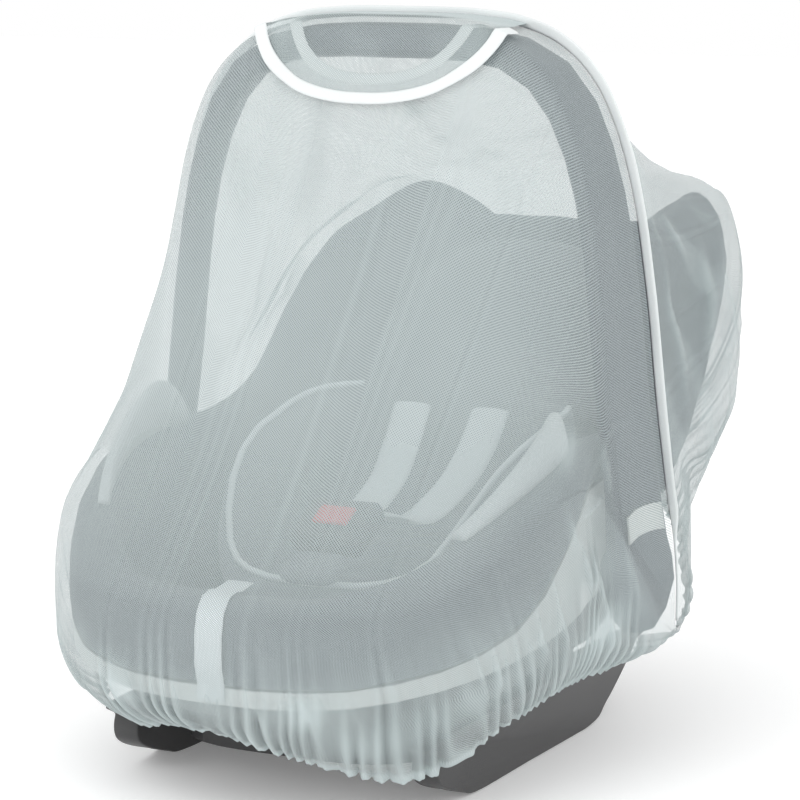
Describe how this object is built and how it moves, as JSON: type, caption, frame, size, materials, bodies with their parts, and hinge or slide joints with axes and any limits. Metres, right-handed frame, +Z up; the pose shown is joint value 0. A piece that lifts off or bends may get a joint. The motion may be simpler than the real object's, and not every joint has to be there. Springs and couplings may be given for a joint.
{
  "type": "mosquito net on infant car seat",
  "caption": "Sheer mosquito net with an elastic hem, fitted over a plain infant car seat with its carrying handle up.",
  "frame": {"origin": "on the floor under the middle of the seat's bounding box", "axes": "+Z up, +X towards the seat's near side, -Y towards its foot end"},
  "size_m": [0.4834, 0.6795, 0.5819],
  "materials": {
    "net": "sheer mesh, about 1 mm cells",
    "binding": "folded tape",
    "cover": "dark padded fabric",
    "inlay": "soft knit",
    "piping": "light cord",
    "webbing": "light webbing",
    "shell": "matt",
    "handle": "satin",
    "trim": "satin",
    "red_plastic": "gloss"
  },
  "bodies": {
    "root": {"seat_shell": "shell", "trim_band": "trim", "seat_cover": "cover", "seat_inlay": "inlay", "inlay_piping": "piping", "head_pad": "inlay", "harness_near": "webbing", "harness_far": "webbing", "buckle": "shell", "buckle_release": "red_plastic", "crotch_pad": "inlay", "adjuster_strap": "webbing", "side_wing_near": "trim", "side_wing_far": "trim", "rocker_near": "shell", "rocker_far": "shell", "carry_handle": "handle", "button_near": "trim", "button_far": "trim", "net_front_panel": "net", "net_rear_panel": "net", "net_flap": "net", "flap_binding": "binding", "opening_binding": "binding", "seam_tape": "binding", "pivot_near": "handle", "pivot_far": "handle"}
  },
  "joints": []
}
